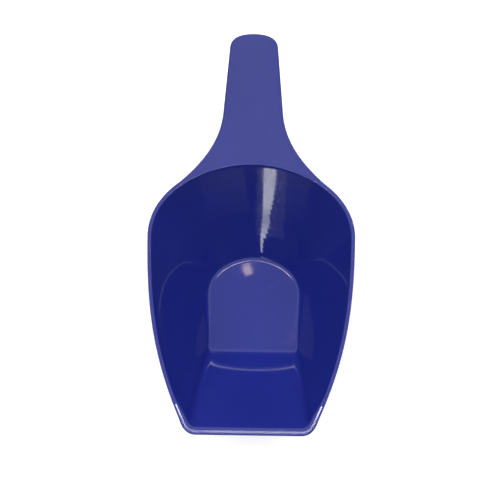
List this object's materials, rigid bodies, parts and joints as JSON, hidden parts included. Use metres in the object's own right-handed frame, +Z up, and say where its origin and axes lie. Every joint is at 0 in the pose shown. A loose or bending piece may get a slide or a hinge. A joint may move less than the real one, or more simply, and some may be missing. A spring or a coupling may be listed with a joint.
{
  "type": "feed scoop",
  "caption": "Moulded feed scoop: deep bowl with a flat arched floor, steep front ramp and pouring lip, and a flat channel handle flaring from the back of the rim.",
  "frame": {"origin": "middle of the flat base the scoop stands on: on the mirror plane, about midway between the floor's front edge and the crown of its arch", "axes": "+Z up out of the bowl, +Y along the handle towards its tip, so the pouring lip faces -Y; the scoop mirrors across X = 0"},
  "size_m": [0.1714, 0.3313, 0.08],
  "materials": {
    "blue_polypropylene": "glossy inside the bowl, fine satin texture on the handle and outside"
  },
  "bodies": {
    "root": {"scoop": "blue_polypropylene"}
  },
  "joints": []
}
